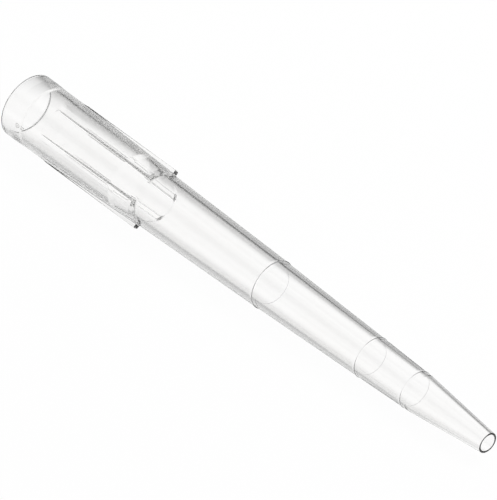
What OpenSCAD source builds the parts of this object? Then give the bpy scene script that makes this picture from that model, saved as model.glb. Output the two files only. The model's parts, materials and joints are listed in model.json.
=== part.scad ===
// A large-volume pipette tip, moulded in one piece from clear polypropylene.
// It is drawn along its own axis from mouth to orifice, then laid on the floor
// as it comes to rest, with the orifice towards +X: on the ends of its two
// lowest fins and on the crest of ring 1.

/* [Overall] */
// Length from the mouth to the orifice
tip_length = 135; // [130:1:160]

/* [Mouth] */
// Outer diameter of the lip around the mouth
lip_d = 14.14; // [14:0.02:15.3]
// Width of the lip before it eases into the collar
lip_w = 2.7; // [1:0.1:4.5]
// Length over which the lip eases into the collar
lip_ease = 3.2; // [1:0.1:4.5]
// Rounding of the lip's outer edge and of the mouth's inner edge
lip_round = 0.25; // [0.1:0.05:0.3]
// Bore of the parallel seat that grips the pipette's nozzle
seat_d = 12.6; // [12.2:0.1:12.7]
// Depth of the parallel seat, measured from the mouth
seat_depth = 5.2; // [3:0.1:8]
// Length of the stop cone below the seat
stop_len = 0.5; // [0.3:0.1:1.5]

/* [Collar] */
// Outer diameter of the collar where the fins start
collar_d = 13.88; // [13.6:0.02:13.96]
// Outer diameter of the collar where the fins end
collar_end_d = 12.44; // [12.24:0.02:12.9]
// Bore of the collar just below the stop cone
collar_bore_d = 11.6; // [11.4:0.1:12.1]
// Distance from the mouth to the inner ledge
ledge_x = 32; // [28:0.1:35]
// Bore of the collar where its inner ledge starts
ledge_bore_d = 11.38; // [11.2:0.02:11.4]
// Height of the inner ledge
ledge_step = 0.3; // [0.1:0.02:0.4]
// Length of the inner ledge
ledge_len = 0.6; // [0.3:0.1:1.5]

/* [Fins] */
// Number of fins around the collar
fin_count = 6; // [4:1:8]
// Distance from the mouth to the start of the fins
fin_start = 11.2; // [10.8:0.1:18]
// Distance from the mouth to the square end of the fins
fin_end = 39.1; // [36:0.1:40]
// Diameter over the fins
fin_d = 14.08; // [13.96:0.02:14.8]
// Length of the ramp at the start of each fin
fin_ramp = 1.4; // [0.5:0.1:4.5]
// Thickness of a fin at its crest
fin_crest_t = 1.35; // [1:0.05:1.7]
// Thickness of a fin at its root
fin_root_t = 1.75; // [1.5:0.05:2.1]

/* [Barrel] */
// Outer diameter at the top of the barrel, just below the fins
barrel_d = 12.16; // [12.04:0.02:12.2]
// Length of the shoulder between the collar and the barrel
shoulder_len = 0.45; // [0.2:0.05:0.9]
// Distance from the mouth to where the barrel's even inner taper starts
throat_x = 37.2; // [36:0.1:39]
// Bore where the barrel's even inner taper starts
throat_d = 9.88; // [9.6:0.02:10.1]

/* [Graduation rings] */
// Distance from the mouth to the crest of ring 1
ring1_x = 73.5; // [67:0.1:80]
// Outer diameter of the wall above ring 1
ring1_d = 10.82; // [10.7:0.02:11.2]
// Drop from the crest of ring 1 to the wall below it
ring1_drop = 0.18; // [0.1:0.01:0.22]
// Distance from the mouth to the crest of ring 2
ring2_x = 102.2; // [97:0.1:106]
// Outer diameter of the wall above ring 2
ring2_d = 9.04; // [8.9:0.02:9.4]
// Drop from the crest of ring 2 to the wall below it
ring2_drop = 0.08; // [0.06:0.01:0.14]
// Distance from the mouth to the crest of ring 3
ring3_x = 114.7; // [111:0.1:115.2]
// Outer diameter of the wall above ring 3
ring3_d = 8.2; // [8.14:0.02:8.5]
// Drop from the crest of ring 3 to the wall below it
ring3_drop = 0.07; // [0.06:0.01:0.09]
// Rise of each ring's crest over the wall above it
ring_rise = 0.05; // [0.02:0.01:0.09]
// Length of the rise up to each ring's crest
ring_ramp = 0.6; // [0.3:0.1:1.3]
// Length of the drop below each ring's crest
ring_edge = 0.3; // [0.1:0.1:0.7]

/* [Nose] */
// Distance from the mouth to where the nose's steeper taper starts
nose_x = 116.1; // [116:0.1:122]
// Outer diameter where the nose starts
nose_d = 8.08; // [7.9:0.02:8.12]
// Bore where the nose starts
nose_bore_d = 7.12; // [6.8:0.02:7.2]
// Outer diameter of the orifice end
orifice_d = 4.4; // [4.2:0.02:4.9]
// Bore of the orifice
orifice_bore_d = 3.56; // [2.8:0.02:3.7]
// Rounding of the orifice's edges
orifice_round = 0.1; // [0.05:0.01:0.12]

/* [Hidden] */
$fn = 96;

// Directions sampled on each rounded edge, as turned away from its start
round_turns = [0:22.5:90];

// How far the fin plates are drawn past their crests, before they are trimmed
fin_over = 1;
fin_r = fin_d / 2;

// Middle of the wall at the two ends of the fins, where their roots lie
root_r_start = (collar_d + collar_bore_d) / 4;
root_r_end = (collar_end_d + throat_d) / 4;

// Resting place: two fins straddle the floor, each touching it with the corner
// that is nearest to straight down, and ring 1 touches it with its crest
straddle = 180 / fin_count;
corner_turn = asin(fin_crest_t / fin_d);
fin_drop = fin_r * cos(straddle - corner_turn);
ring1_crest_r = ring1_d / 2 + ring_rise;
tilt = atan((fin_drop - ring1_crest_r) / (ring1_x - fin_end));

// How far the underside reaches below the axis, as [distance, drop]
underside = [
    [lip_w, lip_d / 2],
    [fin_start, collar_d / 2],
    [fin_start + fin_ramp, fin_drop],
    [fin_end, fin_drop],
    [ring1_x, ring1_crest_r],
    [ring2_x, ring2_d / 2 + ring_rise],
    [ring3_x, ring3_d / 2 + ring_rise],
    [tip_length - orifice_round, orifice_d / 2]
];
axis_height = max([for (p = underside) p[0] * sin(tilt) + p[1] * cos(tilt)]);

// Ends of the tilted tip, so that it lies centred over the origin
reach_back = -(lip_d / 2 - lip_round) * sin(tilt);
reach_front = tip_length * cos(tilt) + (orifice_d / 2 - orifice_round) * sin(tilt);

// Quarter round of a section, turning clockwise from the direction start
function quarter_round(x, r, size, start) =
    [for (turn = round_turns) [r + size * sin(start - turn), x + size * cos(start - turn)]];

// Graduation ring in a section: a low ramp, its crest and the drop below it
function ring(x, wall_d, drop) = [
    [wall_d / 2, x - ring_ramp],
    [wall_d / 2 + ring_rise, x],
    [wall_d / 2 + ring_rise - drop, x + ring_edge]
];

// Outside of the half section, from the mouth to the orifice, as [radius, distance]
function outer_wall() = concat(
    quarter_round(lip_round, lip_d / 2 - lip_round, lip_round, 180),
    [
        [lip_d / 2, lip_w],
        [collar_d / 2, lip_w + lip_ease],
        [collar_d / 2, fin_start],
        [collar_end_d / 2, fin_end],
        [barrel_d / 2, fin_end + shoulder_len]
    ],
    ring(ring1_x, ring1_d, ring1_drop),
    ring(ring2_x, ring2_d, ring2_drop),
    ring(ring3_x, ring3_d, ring3_drop),
    [[nose_d / 2, nose_x]],
    quarter_round(tip_length - orifice_round, orifice_d / 2 - orifice_round, orifice_round, 90)
);

// Inside of the half section, from the orifice back to the mouth
function inner_wall() = concat(
    quarter_round(tip_length - orifice_round, orifice_bore_d / 2 + orifice_round, orifice_round, 0),
    [
        [nose_bore_d / 2, nose_x],
        [throat_d / 2, throat_x],
        [ledge_bore_d / 2 - ledge_step, ledge_x + ledge_len],
        [ledge_bore_d / 2, ledge_x],
        [collar_bore_d / 2, seat_depth + stop_len],
        [seat_d / 2, seat_depth]
    ],
    quarter_round(lip_round, seat_d / 2 + lip_round, lip_round, -90)
);

module tube() {
    rotate_extrude()
        polygon(concat(outer_wall(), inner_wall()));
}

// Ring from which the fins are cut, so that their crests follow one cylinder
module fin_envelope() {
    rotate_extrude()
        polygon([
            [root_r_start, fin_start],
            [collar_d / 2, fin_start],
            [fin_r, fin_start + fin_ramp],
            [fin_r, fin_end],
            [root_r_end, fin_end]
        ]);
}

// Radial plate with drafted sides, wider at its root than at its crest
module fin_plate() {
    linear_extrude(height = tip_length)
        polygon([
            [root_r_end, -fin_root_t / 2],
            [fin_r, -fin_crest_t / 2],
            [fin_r + fin_over, -fin_crest_t / 2],
            [fin_r + fin_over, fin_crest_t / 2],
            [fin_r, fin_crest_t / 2],
            [root_r_end, fin_root_t / 2]
        ]);
}

module fins() {
    intersection() {
        fin_envelope();
        for (i = [0:fin_count - 1])
            rotate([0, 0, straddle + i * 360 / fin_count])
                fin_plate();
    }
}

module pipette_tip() {
    color([0.93, 0.94, 0.94, 0.35])
        translate([-(reach_back + reach_front) / 2, 0, axis_height])
            rotate([0, 90 + tilt, 0]) {
                tube();
                fins();
            }
}

pipette_tip();
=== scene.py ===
import json
import math

import bpy
from mathutils import Matrix, Vector


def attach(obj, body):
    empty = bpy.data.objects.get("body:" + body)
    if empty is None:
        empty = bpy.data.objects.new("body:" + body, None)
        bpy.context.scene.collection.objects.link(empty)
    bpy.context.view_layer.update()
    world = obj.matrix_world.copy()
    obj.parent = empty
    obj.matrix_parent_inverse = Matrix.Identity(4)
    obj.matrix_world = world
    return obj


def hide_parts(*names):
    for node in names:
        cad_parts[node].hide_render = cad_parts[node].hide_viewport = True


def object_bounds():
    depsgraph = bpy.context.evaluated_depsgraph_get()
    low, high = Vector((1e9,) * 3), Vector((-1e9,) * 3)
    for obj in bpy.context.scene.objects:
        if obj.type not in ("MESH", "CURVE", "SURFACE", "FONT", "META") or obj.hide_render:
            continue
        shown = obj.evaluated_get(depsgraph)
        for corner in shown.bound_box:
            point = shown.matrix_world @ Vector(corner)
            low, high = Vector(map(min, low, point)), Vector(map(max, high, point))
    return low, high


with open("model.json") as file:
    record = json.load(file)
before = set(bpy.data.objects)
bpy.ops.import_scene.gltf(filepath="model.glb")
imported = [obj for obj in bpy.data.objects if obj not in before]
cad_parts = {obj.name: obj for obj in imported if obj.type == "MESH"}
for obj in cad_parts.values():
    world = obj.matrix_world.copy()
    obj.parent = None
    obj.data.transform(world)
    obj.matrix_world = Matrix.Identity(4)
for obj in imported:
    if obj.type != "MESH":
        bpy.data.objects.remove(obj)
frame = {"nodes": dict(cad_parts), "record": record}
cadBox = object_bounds()
mm = 0.001
print("frame loaded:", ", ".join(sorted(frame["nodes"])))


# Where the tip lies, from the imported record: its axis runs from mouth to orifice
mounts = {mount["name"]: mount for mount in frame["record"]["mounts"]}
tipAxis = -Vector(mounts["nozzle_seat"]["axis"])
rimPlace = Vector(mounts["mouth_rim"]["pos_m"])
mouthCentre = Vector((rimPlace.x, 0, rimPlace.z))
noseDown = math.atan2(-tipAxis.z, tipAxis.x)
seatRadius = mounts["nozzle_seat"]["dims"]["r_mm"]
finEnd = (Vector(mounts["fin_stop"]["pos_m"]) - mouthCentre).dot(tipAxis) / mm
layTip = Matrix.Translation(mouthCentre) @ Matrix.Rotation(noseDown, 4, "Y")


def makeMesh(name, points, edges=(), faces=(), values=None):
    mesh = bpy.data.meshes.new(name)
    mesh.from_pydata([tuple(p) for p in points], list(edges), list(faces))
    for key, numbers in (values or {}).items():
        mesh.attributes.new(key, "FLOAT", "POINT").data.foreach_set("value", numbers)
    obj = bpy.data.objects.new(name, mesh)
    bpy.context.scene.collection.objects.link(obj)
    return obj


def addNode(tree, kind, inputs=None, **settings):
    node = tree.nodes.new(kind)
    for key, value in settings.items():
        setattr(node, key, value)
    for key, value in (inputs or {}).items():
        socket = node.inputs[key]
        if isinstance(value, bpy.types.NodeSocket):
            tree.links.new(value, socket)
        else:
            socket.default_value = value
    return node


def calc(tree, operation, *values, clamp=False):
    inputs = dict(enumerate(values))
    return addNode(tree, "ShaderNodeMath", inputs, operation=operation, use_clamp=clamp).outputs[0]


# A Geometry Nodes tree and what it is given; inputs are (name, socket type)
def startTree(name, inputs):
    tree = bpy.data.node_groups.new(name, "GeometryNodeTree")
    for label, kind in (("Geometry", "NodeSocketGeometry"), *inputs):
        tree.interface.new_socket(label, in_out="INPUT", socket_type=kind)
    tree.interface.new_socket("Geometry", in_out="OUTPUT", socket_type="NodeSocketGeometry")
    return tree, addNode(tree, "NodeGroupInput").outputs


def endTree(tree, shape, material):
    smooth = addNode(tree, "GeometryNodeSetShadeSmooth", {"Geometry": shape}).outputs[0]
    real = addNode(tree, "GeometryNodeRealizeInstances", {"Geometry": smooth}).outputs[0]
    done = addNode(tree, "GeometryNodeSetMaterial", {"Geometry": real, "Material": material})
    tree.links.new(done.outputs[0], addNode(tree, "NodeGroupOutput").inputs[0])


def shapeOf(tree, helper):
    return addNode(tree, "GeometryNodeObjectInfo", {"Object": helper}).outputs["Geometry"]


# A number that a helper mesh carries on its points
def carried(tree, name):
    node = addNode(tree, "GeometryNodeInputNamedAttribute", {"Name": name}, data_type="FLOAT")
    return next(s for s in node.outputs if s.enabled and s.type == "VALUE")


# Runs a tree on an empty mesh and keeps the plain mesh that comes out
def bakeTree(name, tree, values):
    source = makeMesh(name + "Source", [])
    modifier = source.modifiers.new("build", "NODES")
    modifier.node_group = tree
    sockets = {s.name: s.identifier for s in tree.interface.items_tree if s.in_out == "INPUT"}
    for key, value in values.items():
        modifier[sockets[key]] = value
    graph = bpy.context.evaluated_depsgraph_get()
    mesh = bpy.data.meshes.new_from_object(source.evaluated_get(graph), depsgraph=graph)
    mesh.name = name
    obj = bpy.data.objects.new(name, mesh)
    bpy.context.scene.collection.objects.link(obj)
    bpy.data.objects.remove(source)
    return obj


roundings = {
    "turnStep": 15,  # degrees between the points of an arc
    "mostShare": 0.45,  # of the stretch beside a corner that its arc may take
    "hold": 0.05,  # mm from an arc to its holding points
    "holdRoom": 2.6,  # a stretch shorter than this many reaches of its arc has none
}


# Corners of a section as (distance, radius, rounding), made into a row of points.
# Each rounding gets an arc with a holding point on both sides, so that the long
# straight walls shade flat right up to it.
def roundedRow(corners):
    most, hold = roundings["mostShare"], roundings["hold"]
    row = []
    for i, (x, r, rounding) in enumerate(corners):
        here = Vector((x, r))
        before = Vector(corners[i - 1][:2]) - here
        after = Vector(corners[(i + 1) % len(corners)][:2]) - here
        roomBefore, roomAfter = before.length, after.length
        before.normalize()
        after.normalize()
        turn = math.pi - before.angle(after)
        if rounding <= 0 or turn < 1e-4:
            row.append(here)
            continue
        reach = min(rounding * math.tan(turn / 2), most * roomBefore, most * roomAfter)
        radius = reach / math.tan(turn / 2)
        inward = (before + after).normalized()
        centre = here + inward * (radius / math.cos(turn / 2))
        start = here + before * reach
        spoke = start - centre
        roomToHold = roundings["holdRoom"] * reach + hold
        if roomBefore > roomToHold:
            row.append(start + before * hold)
        side = 1 if after.cross(before) > 0 else -1
        steps = max(2, math.ceil(math.degrees(turn) / roundings["turnStep"]))
        for k in range(steps + 1):
            a = side * turn * k / steps
            row.append(centre + Vector((
                spoke.x * math.cos(a) - spoke.y * math.sin(a),
                spoke.x * math.sin(a) + spoke.y * math.cos(a))))
        if roomAfter > roomToHold:
            row.append(here + after * (reach + hold))
    return row


view = {
    "turn": 39.048,  # degrees round from the front, towards +X
    "rise": 23.212,  # degrees above the floor
    "roll": 16.779,  # degrees, lifting the right side of the frame
    "lens": 525.6,  # mm
    "aimAlong": 64.11,  # mm from the mouth, along the tip
    "aimRight": 1.635,  # mm beside the axis
    "aimUp": 2.235,  # mm above the axis
    "distance": 1426.8,  # mm
    "clip": (0.05, 50),  # metres
}


def makeCamera():
    turn, rise, roll = (math.radians(view[k]) for k in ("turn", "rise", "roll"))
    back = Vector((
        math.sin(turn) * math.cos(rise), -math.cos(turn) * math.cos(rise), math.sin(rise)))
    level = Vector((math.cos(turn), math.sin(turn), 0))
    upright = back.cross(level)
    right = level * math.cos(roll) + upright * math.sin(roll)
    up = back.cross(right)
    aim = mouthCentre + tipAxis * view["aimAlong"] * mm
    aim += right * view["aimRight"] * mm
    aim += up * view["aimUp"] * mm
    data = bpy.data.cameras.new("studioCamera")
    data.lens = view["lens"]
    data.clip_start, data.clip_end = view["clip"]
    camera = bpy.data.objects.new("studioCamera", data)
    bpy.context.scene.collection.objects.link(camera)
    turned = Matrix((right, up, back)).transposed().to_quaternion()
    camera.matrix_world = Matrix.LocRotScale(aim + back * view["distance"] * mm, turned, None)
    bpy.context.scene.camera = camera


makeCamera()
print("camera placed")


plasticLook = {
    "ior": 1.49,
    "tint": (0.997, 0.998, 0.999),
    "warmTint": (0.999, 0.994, 0.986),
    "cloudScale": (60, 90, 90),  # clouds per metre, along the tip and across it
    "cloudRange": (0.35, 0.7),  # of the noise, from the clearest to the haziest places
    "gloss": 0.04,  # roughness of the clearest places
    "haze": 0.08,  # roughness of the haziest places
    "streakScale": (28, 420, 420),  # melt streaks per metre, along the tip and across it
    "flowStrength": 0.25,
    "flowDepth": 0.004,  # mm
    "longPath": 2,  # reflections after which light in the wall comes out scattered
    "trappedLean": 0.36,  # lean past which light in the wall doesn't leave by itself
}


def clearPlastic():
    material = bpy.data.materials.new("clearPolypropylene")
    material.use_nodes = True
    tree = material.node_tree
    tree.nodes.clear()
    output = addNode(tree, "ShaderNodeOutputMaterial")
    place = addNode(tree, "ShaderNodeTexCoord").outputs["Object"]
    # Turned so that x runs along the tip
    along = addNode(tree, "ShaderNodeMapping", {
        "Vector": place, "Location": mouthCentre, "Rotation": (0, noseDown, 0),
    }, vector_type="TEXTURE").outputs[0]
    # Melt flow: long soft streaks down the wall
    streakPlace = addNode(tree, "ShaderNodeMapping", {
        "Vector": along, "Scale": plasticLook["streakScale"],
    }).outputs[0]
    streaks = addNode(tree, "ShaderNodeTexNoise", {
        "Vector": streakPlace, "Scale": 1.0, "Detail": 3.0, "Roughness": 0.55,
    }).outputs["Fac"]
    cloudPlace = addNode(tree, "ShaderNodeMapping", {
        "Vector": along, "Scale": plasticLook["cloudScale"],
    }).outputs[0]
    clouds = addNode(tree, "ShaderNodeTexNoise", {
        "Vector": cloudPlace, "Scale": 1.0, "Detail": 2.0,
    }).outputs["Fac"]
    clearest, haziest = plasticLook["cloudRange"]
    gloss = addNode(tree, "ShaderNodeMapRange", {
        "Value": clouds, "From Min": clearest, "From Max": haziest,
        "To Min": plasticLook["gloss"], "To Max": plasticLook["haze"],
    }).outputs[0]
    # Light that runs round in the collar's wall ends as haze at its bore
    path = addNode(tree, "ShaderNodeLightPath").outputs["Glossy Depth"]
    longPath = calc(tree, "GREATER_THAN", path, plasticLook["longPath"] - 0.5)
    lean = addNode(tree, "ShaderNodeLayerWeight", {"Blend": 0.5}).outputs["Facing"]
    inWall = addNode(tree, "ShaderNodeNewGeometry").outputs["Backfacing"]
    leaning = calc(tree, "GREATER_THAN", lean, plasticLook["trappedLean"])
    trapped = calc(tree, "MULTIPLY", leaning, inWall)
    hazyBore = addNode(tree, "ShaderNodeAttribute", attribute_name="hazyBore").outputs["Fac"]
    scattered = calc(tree, "MULTIPLY", calc(tree, "MAXIMUM", longPath, trapped), hazyBore)
    roughness = calc(tree, "MAXIMUM", gloss, scattered)
    tint = addNode(tree, "ShaderNodeMix", {
        0: clouds, 6: (*plasticLook["tint"], 1), 7: (*plasticLook["warmTint"], 1),
    }, data_type="RGBA").outputs[2]
    bump = addNode(tree, "ShaderNodeBump", {
        "Height": streaks, "Strength": plasticLook["flowStrength"],
        "Distance": plasticLook["flowDepth"] * mm,
    }).outputs[0]
    plastic = addNode(tree, "ShaderNodeBsdfPrincipled", {
        "Base Color": tint, "Roughness": roughness, "IOR": plasticLook["ior"],
        "Transmission Weight": 1.0, "Normal": bump,
    })
    tree.links.new(plastic.outputs[0], output.inputs["Surface"])
    return material


plastic = clearPlastic()
print("plastic ready")


# Distances from the mouth, radii and roundings in mm
tip = {
    "outside": [
        (0, 6.72, 0.15), (0.08, 7.07, 0.1),  # mouth
        (2.7, 7.07, 2.5),  # end of the lip
        (5.9, 6.94, 2.5),
        (11.2, 6.94, 2.0),  # collar starts to taper
        (finEnd, 6.22, 0),
        (39.75, 6.075, 0.35),  # shoulder
        (72.9, 5.41, 0.3), (73.5, 5.46, 0.04), (73.58, 5.33, 0.05),  # ring 1
        (101.6, 4.52, 0.3), (102.2, 4.57, 0.03), (102.25, 4.505, 0.04),  # ring 2
        (114.1, 4.1, 0.3), (114.7, 4.15, 0.03), (114.75, 4.095, 0.04),  # ring 3
        (116.1, 4.04, 0.6),  # nose
        (135, 2.2, 0.1),  # orifice
    ],
    "inside": [
        (135, 1.78, 0.1),  # orifice
        (116.1, 3.56, 0.8),  # nose
        (37.2, 4.94, 1.2),  # end of the barrel's even taper
        (33.0, 5.405, 1.0), (31.6, 5.69, 1.0),  # ledge
        (5.6, 5.8, 0.07), (5.2, seatRadius, 0.07),  # stop cone below the seat
        (0, seatRadius, 0.19),  # mouth
    ],
    "finStart": 11.2,  # the same as where the collar starts to taper
    "finRamp": 1.4,
    "finRadius": 7.04,
    "finCount": 6,
    "finCrest": 1.35,  # thickness
    "finSteepness": 88,  # degrees from the wall
    "finEdge": 0.18,  # rounding along the crest
    "finFoot": 0.04,  # rounding into the wall
    "rampRows": (0.12, 0.25, 0.5, 0.75, 0.9, 1.0, 1.1, 1.6),  # shares of the ramp's length
    "rampEase": 0.35,  # 0 for a straight ramp, 1 for one that eases in and out
    "crestRows": 11,
    "crestStop": 0.6,  # from the last of them to the fin's end
    "endHold": 0.06,  # from the holding row to the rounded end
    "endTurns": (0, 22.5, 45, 67.5, 90),  # degrees, over the rounded end
    "endShares": (0.75, 0.5, 0.25, 0.1, 0.04, 0),  # of the height, down the square end
    "crestColumns": 7,
    "crestGrowth": 1.25,
    "gapColumns": 20,
    "gapGrowth": 1.12,
    "skin": 0.35,  # depth down to which a point of the wall belongs to its outside
    "slack": 0.01,  # within which a point still belongs to the fins' stretch
    "rimWidth": 1.5,  # of the clear wall around the mouth
    "mergeWithin": 0.0008,
}
wallPoints = roundedRow(tip["outside"] + tip["inside"])


def collarRadius(x):
    (x0, r0), (x1, r1) = [(x, r) for x, r, _ in tip["outside"] if x in (tip["finStart"], finEnd)]
    return r0 + (r1 - r0) * (x - x0) / (x1 - x0)


# The stretch of the outside that carries the fins, as (radius, fin radius, distance,
# share of the fin's height that is kept)
def finRows():
    start, ramp, top, edge = tip["finStart"], tip["finRamp"], tip["finRadius"], tip["finEdge"]
    ease, collar = tip["rampEase"], collarRadius(tip["finStart"])
    rows = []
    for share in tip["rampRows"]:
        x = start + ramp * share
        climb = min(share, 1)
        eased = climb * climb * (3 - 2 * climb) * ease + climb * (1 - ease)
        rows.append((collarRadius(x), collar + (top - collar) * eased, x, 1))
    level = start + ramp * tip["rampRows"][-1]
    crestLength = finEnd - tip["crestStop"] - level
    for k in range(1, tip["crestRows"] + 1):
        x = level + crestLength * k / tip["crestRows"]
        rows.append((collarRadius(x), top, x, 1))
    x = finEnd - edge - tip["endHold"]
    rows.append((collarRadius(x), top, x, 1))
    for turn in tip["endTurns"]:
        a = math.radians(turn)
        x = finEnd - edge + edge * math.sin(a)
        rows.append((collarRadius(x), top - edge * (1 - math.cos(a)), x, 1))
    base = collarRadius(finEnd)
    return rows + [(base, top - edge, finEnd, share) for share in tip["endShares"]]


# Outside and inside of the wall in one closed row of (radius, fin radius, distance),
# and the share of a fin's height that each point of the row keeps
def wallRow():
    row, finsDone = [], False
    for p in wallPoints:
        collar = collarRadius(min(max(p.x, tip["finStart"]), finEnd))
        besideFins = tip["finStart"] < p.x <= finEnd + tip["slack"]
        if not besideFins or p.y <= collar - tip["skin"]:
            row.append((p.y, p.y, p.x, 1))
        elif not finsDone:
            row += finRows()
            finsDone = True
    return [place[:3] for place in row], [place[3] for place in row]


# Shares of a stretch that is cut into steps, each longer than the last
def growing(count, ratio):
    steps = [ratio ** k for k in range(count)]
    return [sum(steps[:k + 1]) / sum(steps) for k in range(count)]


# One fin and the bare wall up to the middle of the gap on both sides, as
# (side, walk, gap share). The walk goes over the crest to 0, round its edge to 1,
# down the flank to 2 and round the foot to 3.
def finColumns():
    crest = growing(tip["crestColumns"], tip["crestGrowth"])[:-1]
    walk = [-share for share in reversed(crest)]
    walk += [0, 0.25, 0.5, 0.75, 1, 1.33, 1.67, 2, 2.25, 2.5, 2.75, 3]
    half = [(1, w, 0) for w in walk]
    half += [(1, 3, share) for share in growing(tip["gapColumns"], tip["gapGrowth"])]
    other = [(-1, w, gap) for _, w, gap in reversed(half)]
    return other[1:] + [(0, -1, 0)] + half


# Wraps a sheet round the tip's axis: its lines follow the wall row, and its columns
# follow the fin columns, once for each fin
def tipTree():
    tree, given = startTree("tipWall", (
        ("Wall Row", "NodeSocketObject"), ("Fin Columns", "NodeSocketObject"),
        ("Fins", "NodeSocketInt"), ("Fin Crest", "NodeSocketFloat"),
        ("Fin Edge", "NodeSocketFloat"), ("Fin Foot", "NodeSocketFloat"),
        ("Fin Steepness", "NodeSocketFloat"), ("Straight Radius", "NodeSocketFloat"),
        ("Merge Within", "NodeSocketFloat"), ("Mouth Centre", "NodeSocketVector"),
        ("Nose Down", "NodeSocketFloat"), ("Plastic", "NodeSocketMaterial"),
    ))

    def m(operation, *values):
        return calc(tree, operation, *values)

    def countOf(shape):
        size = addNode(tree, "GeometryNodeAttributeDomainSize", {"Geometry": shape})
        return size.outputs["Point Count"]

    def sampled(shape, at, kind, value):
        sample = addNode(tree, "GeometryNodeSampleIndex", {
            "Geometry": shape, "Index": at,
        }, data_type=kind, domain="POINT")
        tree.links.new(value, next(s for s in sample.inputs if s.name == "Value" and s.enabled))
        return next(s for s in sample.outputs if s.enabled)

    def parted(vector):
        return addNode(tree, "ShaderNodeSeparateXYZ", {0: vector}).outputs

    wall, section = shapeOf(tree, given["Wall Row"]), shapeOf(tree, given["Fin Columns"])
    rows, columns = countOf(wall), countOf(section)
    around = m("MULTIPLY", columns, given["Fins"])
    sheet = addNode(tree, "GeometryNodeMeshGrid", {
        "Vertices X": m("ADD", rows, 1), "Vertices Y": m("ADD", around, 1),
    }).outputs["Mesh"]
    index = addNode(tree, "GeometryNodeInputIndex").outputs[0]
    stride = m("ADD", around, 1)
    line = m("FLOOR", m("DIVIDE", m("ADD", index, 0.5), stride))
    rowIndex = m("FLOORED_MODULO", line, rows)
    column = m("FLOORED_MODULO", m("SUBTRACT", index, m("MULTIPLY", line, stride)), around)
    fin = m("FLOOR", m("DIVIDE", m("ADD", column, 0.5), columns))
    columnIndex = m("SUBTRACT", column, m("MULTIPLY", fin, columns))

    position = addNode(tree, "GeometryNodeInputPosition").outputs[0]
    radius, finRadius, distance = parted(sampled(wall, rowIndex, "FLOAT_VECTOR", position))
    side, walk, gap = parted(sampled(section, columnIndex, "FLOAT_VECTOR", position))
    kept = sampled(wall, rowIndex, "FLOAT", carried(tree, "heightKept"))
    hazyRow = sampled(wall, rowIndex, "FLOAT", carried(tree, "hazyRow"))

    # Share of the walk's stretch from low to low + 1 that is done
    def part(low):
        return calc(tree, "SUBTRACT", walk, low, clamp=True)

    # The fin's section at its height here: a low fin is a soft swelling, a tall one
    # has a straight flank between its two roundings
    edge, foot = given["Fin Edge"], given["Fin Foot"]
    nearZero = 0.0001  # heights and sines below this count as none
    tall = m("SUBTRACT", finRadius, radius)
    rounding = m("ADD", edge, foot)
    bend = calc(tree, "SUBTRACT", 1.0, m("DIVIDE", tall, rounding), clamp=True)
    steep = m("MINIMUM", m("ARCCOSINE", bend), given["Fin Steepness"])
    steepSine, steepCosine = m("SINE", steep), m("COSINE", steep)
    overEdge = m("MULTIPLY", part(0.0), steep)
    overFoot = m("MULTIPLY", m("SUBTRACT", 1.0, part(2.0)), steep)
    rounded = m("MULTIPLY", rounding, m("SUBTRACT", 1.0, steepCosine))
    straight = m("DIVIDE", m("SUBTRACT", tall, rounded), m("MAXIMUM", steepSine, nearZero))
    downFlank = m("MULTIPLY", part(1.0), m("MAXIMUM", straight, 0.0))
    flat = m("SUBTRACT", m("MULTIPLY", given["Fin Crest"], 0.5), edge)
    offset = m("ADD", m("MULTIPLY", part(-1.0), flat), m("MULTIPLY", edge, m("SINE", overEdge)))
    offset = m("ADD", offset, m("MULTIPLY", downFlank, steepCosine))
    offset = m("ADD", offset, m("MULTIPLY", foot, m("SUBTRACT", steepSine, m("SINE", overFoot))))
    drop = m("MULTIPLY", edge, m("SUBTRACT", 1.0, m("COSINE", overEdge)))
    drop = m("ADD", drop, m("MULTIPLY", downFlank, steepSine))
    drop = m("ADD", drop, m("MULTIPLY", foot, m("SUBTRACT", m("COSINE", overFoot), steepCosine)))
    height = m("MULTIPLY", m("MAXIMUM", m("SUBTRACT", tall, drop), 0.0), kept)
    reach = m("ADD", radius, height)

    # The angle from the fin's middle, which runs on to the middle of the gap
    widest = m("MAXIMUM", reach, given["Straight Radius"])
    finAngle = m("MULTIPLY", side, m("ARCSINE", m("DIVIDE", offset, widest)))
    pitch = m("DIVIDE", 2 * math.pi, given["Fins"])
    middle = m("MULTIPLY", side, m("MULTIPLY", pitch, 0.5))
    angle = m("ADD", m("MULTIPLY", finAngle, m("SUBTRACT", 1.0, gap)), m("MULTIPLY", middle, gap))
    # Away from the fins the columns stand evenly
    centre = m("SUBTRACT", m("DIVIDE", columns, 2), 1)
    even = m("MULTIPLY", m("DIVIDE", m("SUBTRACT", columnIndex, centre), columns), pitch)
    onFins = m("GREATER_THAN", tall, nearZero)
    placed = m("ADD", even, m("MULTIPLY", onFins, m("SUBTRACT", angle, even)))
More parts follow.
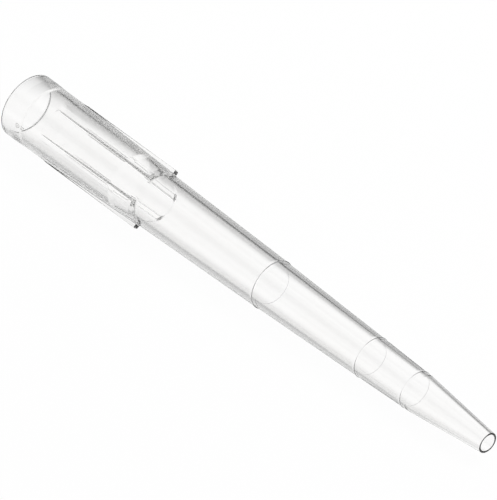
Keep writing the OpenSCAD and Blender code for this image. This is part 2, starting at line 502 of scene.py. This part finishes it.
    # The lowest two fins straddle the floor, half a pitch to either side
    turn = m("ADD", placed, m("MULTIPLY", pitch, m("ADD", fin, 0.5)))
    place = addNode(tree, "ShaderNodeCombineXYZ", {
        0: m("MULTIPLY", distance, mm),
        1: m("MULTIPLY", m("MULTIPLY", reach, m("SINE", turn)), mm),
        2: m("MULTIPLY", m("MULTIPLY", reach, m("COSINE", turn)), -mm),
    }).outputs[0]
    bent = addNode(tree, "GeometryNodeSetPosition", {
        "Geometry": sheet, "Position": place,
    }).outputs[0]
    marked = addNode(tree, "GeometryNodeStoreNamedAttribute", {
        "Geometry": bent, "Name": "hazyBore", "Value": hazyRow,
    }, data_type="FLOAT", domain="POINT").outputs[0]
    closed = addNode(tree, "GeometryNodeMergeByDistance", {
        "Geometry": marked, "Distance": given["Merge Within"],
    }).outputs[0]
    tilt = addNode(tree, "ShaderNodeCombineXYZ", {1: given["Nose Down"]}).outputs[0]
    laid = addNode(tree, "GeometryNodeTransform", {
        "Geometry": closed, "Translation": given["Mouth Centre"], "Rotation": tilt,
    }).outputs[0]
    outward = addNode(tree, "GeometryNodeFlipFaces", {"Mesh": laid}).outputs[0]
    endTree(tree, outward, given["Plastic"])
    return tree


def makeTip():
    places, kept = wallRow()
    # The bore comes after the orifice in the row
    orificeRow = max(range(len(places)), key=lambda k: places[k][2])
    hazy = [
        float(k > orificeRow and tip["rimWidth"] < distance < finEnd)
        for k, (_, _, distance) in enumerate(places)
    ]
    wall = makeMesh("wallRow", places, values={"heightKept": kept, "hazyRow": hazy})
    section = makeMesh("finColumns", finColumns())
    obj = bakeTree("tipWall", tipTree(), {
        "Wall Row": wall, "Fin Columns": section, "Fins": tip["finCount"],
        "Fin Crest": tip["finCrest"], "Fin Edge": tip["finEdge"], "Fin Foot": tip["finFoot"],
        "Fin Steepness": math.radians(tip["finSteepness"]),
        "Straight Radius": collarRadius(finEnd), "Merge Within": tip["mergeWithin"] * mm,
        "Mouth Centre": mouthCentre, "Nose Down": noseDown, "Plastic": plastic,
    })
    for helper in (wall, section):
        bpy.data.objects.remove(helper)
    return obj


tipWall = makeTip()
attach(tipWall, "root")
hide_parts("pipette_tip")
print("tip made:", len(tipWall.data.vertices), "points,", len(tipWall.data.polygons), "faces")


# A plain mould mark near the mouth: a ring round a pip, and two dashes, in mm
mark = {
    "along": 5.55,  # from the mouth to its middle
    "around": 80.5,  # degrees from straight down, towards the front
    "ringPlace": -0.75,
    "ringRadius": 0.42,
    "ringPoints": 28,
    "pipLength": 0.24,
    "dashStart": 0.2,
    "dashEnd": 1.15,
    "dashGap": 0.5,
    "bead": 0.11,
    "beadSides": 12,
    # Round end of a stroke: (beads from where it reaches its full size, share of the bead)
    "roundEnd": ((-1.0, 0.05), (-0.95, 0.32), (-0.8, 0.6), (-0.5, 0.87), (0, 1.0)),
    "sunk": 0.03,
}


def markTree():
    tree, given = startTree("mouldMark", (
        ("Lines", "NodeSocketObject"), ("Bead", "NodeSocketFloat"),
        ("Sides", "NodeSocketInt"), ("Plastic", "NodeSocketMaterial"),
    ))
    lines = shapeOf(tree, given["Lines"])
    curves = addNode(tree, "GeometryNodeMeshToCurve", {"Mesh": lines}).outputs[0]
    section = addNode(tree, "GeometryNodeCurvePrimitiveCircle", {
        "Resolution": given["Sides"], "Radius": given["Bead"],
    }).outputs[0]
    beads = addNode(tree, "GeometryNodeCurveToMesh", {
        "Curve": curves, "Profile Curve": section, "Scale": carried(tree, "beadShare"),
        "Fill Caps": True,
    }).outputs[0]
    endTree(tree, beads, given["Plastic"])
    return tree


def makeMark():
    leastRadius = collarRadius(tip["finStart"]) - tip["skin"]
    outside = sorted(
        (p.x, p.y) for p in wallPoints if p.x < tip["finStart"] and p.y > leastRadius)

    # A point on the wall, from mm along and across the mark
    def onWall(along, across):
        x = mark["along"] + along
        (x0, r0), (x1, r1) = next((a, b) for a, b in zip(outside, outside[1:]) if b[0] >= x)
        r = r0 + (r1 - r0) * (x - x0) / (x1 - x0) - mark["sunk"]
        turn = math.radians(mark["around"]) + across / r
        return layTip @ (Vector((x, -r * math.sin(turn), -r * math.cos(turn))) * mm)

    points, edges, shares = [], [], []
    for k in range(mark["ringPoints"]):
        a = 2 * math.pi * k / mark["ringPoints"]
        along = mark["ringPlace"] + mark["ringRadius"] * math.cos(a)
        points.append(onWall(along, mark["ringRadius"] * math.sin(a)))
        edges.append((k, (k + 1) % mark["ringPoints"]))
        shares.append(1.0)
    halfPip, halfGap = mark["pipLength"] / 2, mark["dashGap"] / 2
    strokes = [(mark["ringPlace"] - halfPip, mark["ringPlace"] + halfPip, 0)]
    strokes += [(mark["dashStart"], mark["dashEnd"], across) for across in (-halfGap, halfGap)]
    for start, end, across in strokes:
        first = len(points)
        stations = [(start + (1 + k) * mark["bead"], share) for k, share in mark["roundEnd"]]
        stations += [(end - (1 + k) * mark["bead"], share) for k, share in mark["roundEnd"]]
        for along, share in sorted(stations):
            points.append(onWall(along, across))
            shares.append(share)
        edges += [(k, k + 1) for k in range(first, len(points) - 1)]
    lines = makeMesh("markLines", points, edges, values={"beadShare": shares})
    obj = bakeTree("mouldMark", markTree(), {
        "Lines": lines, "Bead": mark["bead"] * mm, "Sides": mark["beadSides"],
        "Plastic": plastic,
    })
    bpy.data.objects.remove(lines)
    return obj


mouldMark = makeMark()
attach(mouldMark, "root")
print("mould mark made:", len(mouldMark.data.polygons), "faces")


studio = {
    "floorSize": 12.0,  # metres
    "floorColour": (0.92, 0.92, 0.92),
    "floorWhite": 0.98,  # share of plain white that shows directly
    # How the plastic sees the floor: a painted shadow in front of the tip, by distance over
    # the tip's own radius, and a painted pool of light round the tip that ends softly (metres)
    "shade": [(-2.6, 0.9), (-1.7, 0.41), (-0.9, 0.48), (-0.55, 0.72), (-0.2, 0.97), (0.0, 1.0)],
    "noseShare": 0.45,  # the tip's radius at its orifice over the one at its mouth
    "paintedPoolInner": 0.02,
    "paintedPoolOuter": 0.05,
    "paintedPoolEdge": 0.55,
    # The room's brightness by height: (sine of the height, level)
    "room": [
        (0.0, 0.54), (0.2, 0.58), (0.28, 0.3), (0.34, 0.12), (0.47, 0.18),
        (0.545, 0.45), (0.616, 0.75), (0.72, 1.0), (0.82, 1.0),
    ],
    "sideLevel": 0.62,  # least level past the orifice's side
    "sideStart": -0.3,  # x of the directions where it starts to rise
    "sideFull": 0.1,
    "frontLevel": 0.8,  # least level in front
    "frontDirection": (0.57, -0.82, 0.0),
    "frontFull": 0.5,  # 1 would reach it only straight in front
    "fillLevel": 0.35,  # how much of the room's light falls on the floor
    "boxSize": (0.5, 0.5),  # metres
    "boxPlace": (-0.1, 0.55, 0.75),
    "boxPower": 6.5,  # watts
}


# A grey ramp over any range, from (place, level) pairs
def levelRamp(tree, value, stops):
    low, high = stops[0][0], stops[-1][0]
    share = addNode(tree, "ShaderNodeMapRange", {
        "Value": value, "From Min": low, "From Max": high,
    }).outputs[0]
    ramp = addNode(tree, "ShaderNodeValToRGB", {0: share})
    elements = ramp.color_ramp.elements
    last = len(stops) - 1
    for k, (place, level) in enumerate(stops):
        at = (place - low) / (high - low)
        stop = elements[0] if k == 0 else elements[-1] if k == last else elements.new(at)
        stop.position = at
        stop.color = (level, level, level, 1)
    return ramp.outputs[0]


# Goes softly from one level to another while the value goes from low to high
def softStep(tree, value, low, high, fromLevel, toLevel):
    return addNode(tree, "ShaderNodeMapRange", {
        "Value": value, "From Min": low, "From Max": high,
        "To Min": fromLevel, "To Max": toLevel,
    }, interpolation_type="SMOOTHSTEP").outputs[0]


def makeFloor():
    h = studio["floorSize"] / 2
    corners = [(-h, -h, 0), (h, -h, 0), (h, h, 0), (-h, h, 0)]
    floor = makeMesh("studioFloor", corners, (), [(0, 1, 2, 3)])
    material = bpy.data.materials.new("paleFloor")
    material.use_nodes = True
    tree = material.node_tree
    tree.nodes.clear()
    output = addNode(tree, "ShaderNodeOutputMaterial")
    path = addNode(tree, "ShaderNodeLightPath").outputs
    inPlastic = calc(tree, "MAXIMUM", path["Is Glossy Ray"], path["Is Transmission Ray"])
    direct = calc(tree, "MAXIMUM", path["Is Camera Ray"], inPlastic)
    share = calc(tree, "MULTIPLY", direct, studio["floorWhite"])
    # Distance from the line that the tip lies along
    coords = addNode(tree, "ShaderNodeTexCoord").outputs["Object"]
    x, y, _ = addNode(tree, "ShaderNodeSeparateXYZ", {0: coords}).outputs
    pastEnd = calc(tree, "SUBTRACT", calc(tree, "ABSOLUTE", x), cadBox[1].x)
    pastEnd = calc(tree, "MAXIMUM", pastEnd, 0.0)
    squares = calc(tree, "POWER", pastEnd, 2.0), calc(tree, "POWER", y, 2.0)
    away = calc(tree, "SQRT", calc(tree, "ADD", *squares))
    # Painted pool of light on the floor: full level near the tip's line, dimmer further out, seen
    # only by glossy and transmission rays
    paintedPool = softStep(
        tree, away, studio["paintedPoolInner"], studio["paintedPoolOuter"], 1.0, studio["paintedPoolEdge"])
    radius = addNode(tree, "ShaderNodeMapRange", {
        "Value": x, "From Min": cadBox[0].x, "From Max": cadBox[1].x,
        "To Min": cadBox[1].y, "To Max": cadBox[1].y * studio["noseShare"],
    }).outputs[0]
    # Painted shadow on the floor in front of the tip, by distance over the tip's radius
    shade = levelRamp(tree, calc(tree, "DIVIDE", y, radius), studio["shade"])
    paintedShadeAndPool = calc(tree, "MULTIPLY", shade, paintedPool)
    # Camera rays see plain white; glossy and transmission rays see the painted shadow and pool
    level = addNode(tree, "ShaderNodeMix", {0: inPlastic, 2: 1.0, 3: paintedShadeAndPool}).outputs[0]
    white = addNode(tree, "ShaderNodeEmission", {"Color": (1, 1, 1, 1), "Strength": level})
    matte = addNode(tree, "ShaderNodeBsdfDiffuse", {"Color": (*studio["floorColour"], 1)})
    both = addNode(tree, "ShaderNodeMixShader", {
        0: share, 1: matte.outputs[0], 2: white.outputs[0],
    })
    tree.links.new(both.outputs[0], output.inputs["Surface"])
    floor.data.materials.append(material)


def makeWorld():
    world = bpy.data.worlds.new("studioWorld")
    bpy.context.scene.world = world
    world.use_nodes = True
    tree = world.node_tree
    tree.nodes.clear()
    output = addNode(tree, "ShaderNodeOutputWorld")
    direction = addNode(tree, "ShaderNodeTexCoord").outputs["Generated"]
    sideways, _, upward = addNode(tree, "ShaderNodeSeparateXYZ", {0: direction}).outputs
    room = levelRamp(tree, upward, studio["room"])
    forward = addNode(tree, "ShaderNodeVectorMath", {
        0: direction, 1: studio["frontDirection"],
    }, operation="DOT_PRODUCT").outputs["Value"]
    inFront = softStep(tree, forward, 0.0, studio["frontFull"], 0.0, studio["frontLevel"])
    toSide = softStep(
        tree, sideways, studio["sideStart"], studio["sideFull"], 0.0, studio["sideLevel"])
    level = calc(tree, "MAXIMUM", calc(tree, "MAXIMUM", room, inFront), toSide)
    path = addNode(tree, "ShaderNodeLightPath").outputs
    diffuse = addNode(tree, "ShaderNodeMix", {
        0: path["Is Diffuse Ray"], 2: 1.0, 3: studio["fillLevel"],
    }).outputs[0]
    level = calc(tree, "MAXIMUM", calc(tree, "MULTIPLY", level, diffuse), path["Is Camera Ray"])
    shade = addNode(tree, "ShaderNodeBackground", {"Color": (1, 1, 1, 1), "Strength": level})
    tree.links.new(shade.outputs[0], output.inputs["Surface"])


def makeLights():
    data = bpy.data.lights.new("softbox", "AREA")
    data.shape = "RECTANGLE"
    data.size, data.size_y = studio["boxSize"]
    data.energy = studio["boxPower"]
    lamp = bpy.data.objects.new("softbox", data)
    lamp.location = studio["boxPlace"]
    lamp.rotation_euler = lamp.location.to_track_quat("Z", "Y").to_euler()
    lamp.visible_glossy = False
    lamp.visible_transmission = False
    bpy.context.scene.collection.objects.link(lamp)


makeFloor()
makeWorld()
makeLights()
bpy.context.scene.view_settings.view_transform = "Standard"
print("studio ready")
